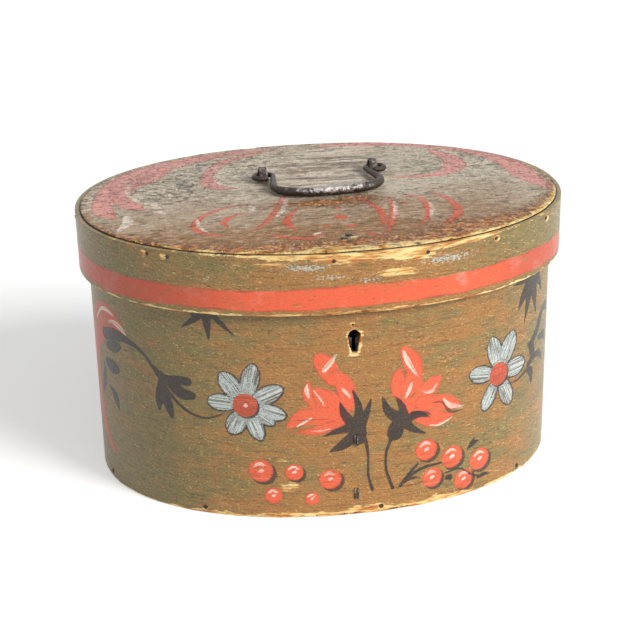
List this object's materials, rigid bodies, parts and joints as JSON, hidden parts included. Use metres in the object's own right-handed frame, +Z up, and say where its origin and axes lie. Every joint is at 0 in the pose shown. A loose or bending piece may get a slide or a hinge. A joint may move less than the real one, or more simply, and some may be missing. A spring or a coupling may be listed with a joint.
{
  "type": "oval bentwood box",
  "caption": "Oval bentwood box with a hinged slip-over lid, an inside lock and a forged bail handle on the lid.",
  "frame": {"origin": "middle of the underside of the bottom board", "axes": "+Z up, the keyhole side faces -Y, +X along the oval's length to the right"},
  "size_m": [0.3805, 0.2807, 0.2256],
  "materials": {
    "painted_band": "worn olive paint on bent wood",
    "painted_board": "worn olive paint on a planed board",
    "bare_wood": "aged bare wood",
    "pegs": "dark hardwood pegs",
    "root": "split root",
    "forged_iron": "forged iron, dark",
    "worn_iron": "forged iron, worn bright on the grip"
  },
  "bodies": {
    "box": {"body_band": "painted_band", "bottom_board": "bare_wood", "bottom_pegs": "pegs", "body_lacing": "root", "front_cramps": "forged_iron", "hinge_staple_left": "forged_iron", "hinge_staple_right": "forged_iron", "lock_plate": "forged_iron", "lock_case": "forged_iron", "lock_spring": "forged_iron", "lock_key_pin": "forged_iron", "lock_ward": "forged_iron", "lock_nails": "forged_iron"},
    "lid": {"lid_board": "painted_board", "lid_rim": "painted_band", "rim_pegs": "pegs", "rim_lacing": "root", "handle_staple_left": "forged_iron", "handle_staple_right": "forged_iron", "lid_catch": "forged_iron", "hinge_strap_left": "forged_iron", "hinge_strap_right": "forged_iron", "hinge_nails": "forged_iron"},
    "bail": {"handle": "worn_iron"},
    "bolt": {"lock_bolt": "forged_iron"}
  },
  "joints": [
    {"name": "lid_hinge", "type": "hinge", "parent": "box", "child": "lid", "pos_m": [0, 0.13612, 0.16422], "axis": [-1, 0, 0], "range_deg": [0, 110]},
    {"name": "handle_swing", "type": "hinge", "parent": "lid", "child": "bail", "pos_m": [0.005, 0.043, 0.2193], "axis": [-0.9969, -0.0785, 0], "range_deg": [0, 180]},
    {"name": "bolt_throw", "type": "slide", "parent": "box", "child": "bolt", "axis": [1, 0, 0], "range_m": [0, 0.009]}
  ]
}
